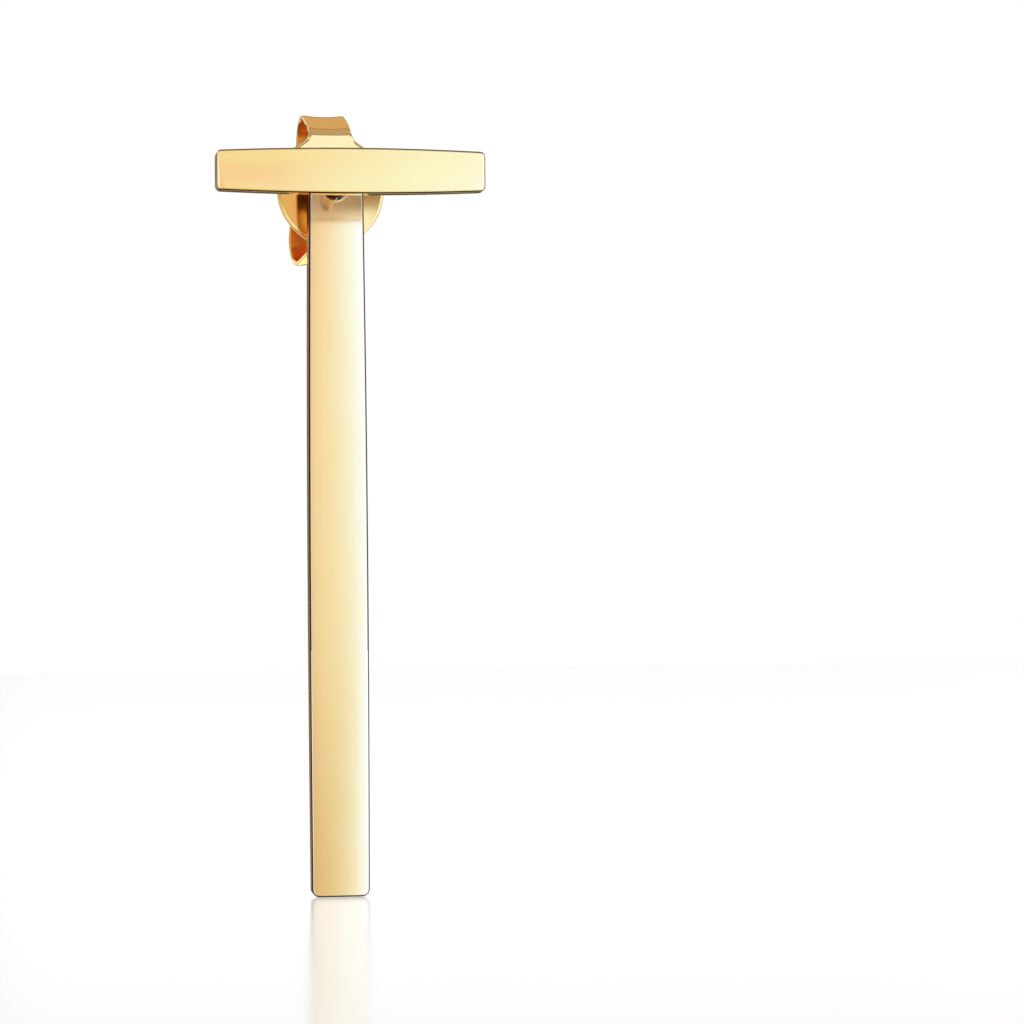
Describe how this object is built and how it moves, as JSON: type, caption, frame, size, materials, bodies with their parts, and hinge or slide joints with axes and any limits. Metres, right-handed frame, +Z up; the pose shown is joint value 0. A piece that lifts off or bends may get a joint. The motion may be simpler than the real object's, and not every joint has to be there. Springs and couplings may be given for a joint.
{
  "type": "bar earring",
  "caption": "Bar earring with a short polished front bar on an ear post, a long drop bar hanging behind the lobe and a butterfly clutch.",
  "frame": {"origin": "On the axis of the ear post, at the back face of the front bar, where the ear lobe sits.", "axes": "+Z up, +Y back along the post into the ear lobe, +X to the right seen from the front; the drop bar hangs along -Z."},
  "size_m": [0.01, 0.0124, 0.0306],
  "materials": {
    "polished_gold": "yellow gold, mirror polished",
    "clutch_gold": "yellow gold sheet, stamped and tumble polished"
  },
  "bodies": {
    "front": {"front_bar": "polished_gold"},
    "drop": {"drop_bar": "polished_gold"},
    "clutch": {"clutch": "clutch_gold"}
  },
  "joints": [
    {"name": "drop_swing", "type": "hinge", "parent": "front", "child": "drop", "pos_m": [0, 0.00575, 0], "axis": [0, 1, 0], "continuous": true},
    {"name": "clutch_slide", "type": "slide", "parent": "front", "child": "clutch", "axis": [0, 1, 0], "range_m": [0, 0.0055]}
  ]
}
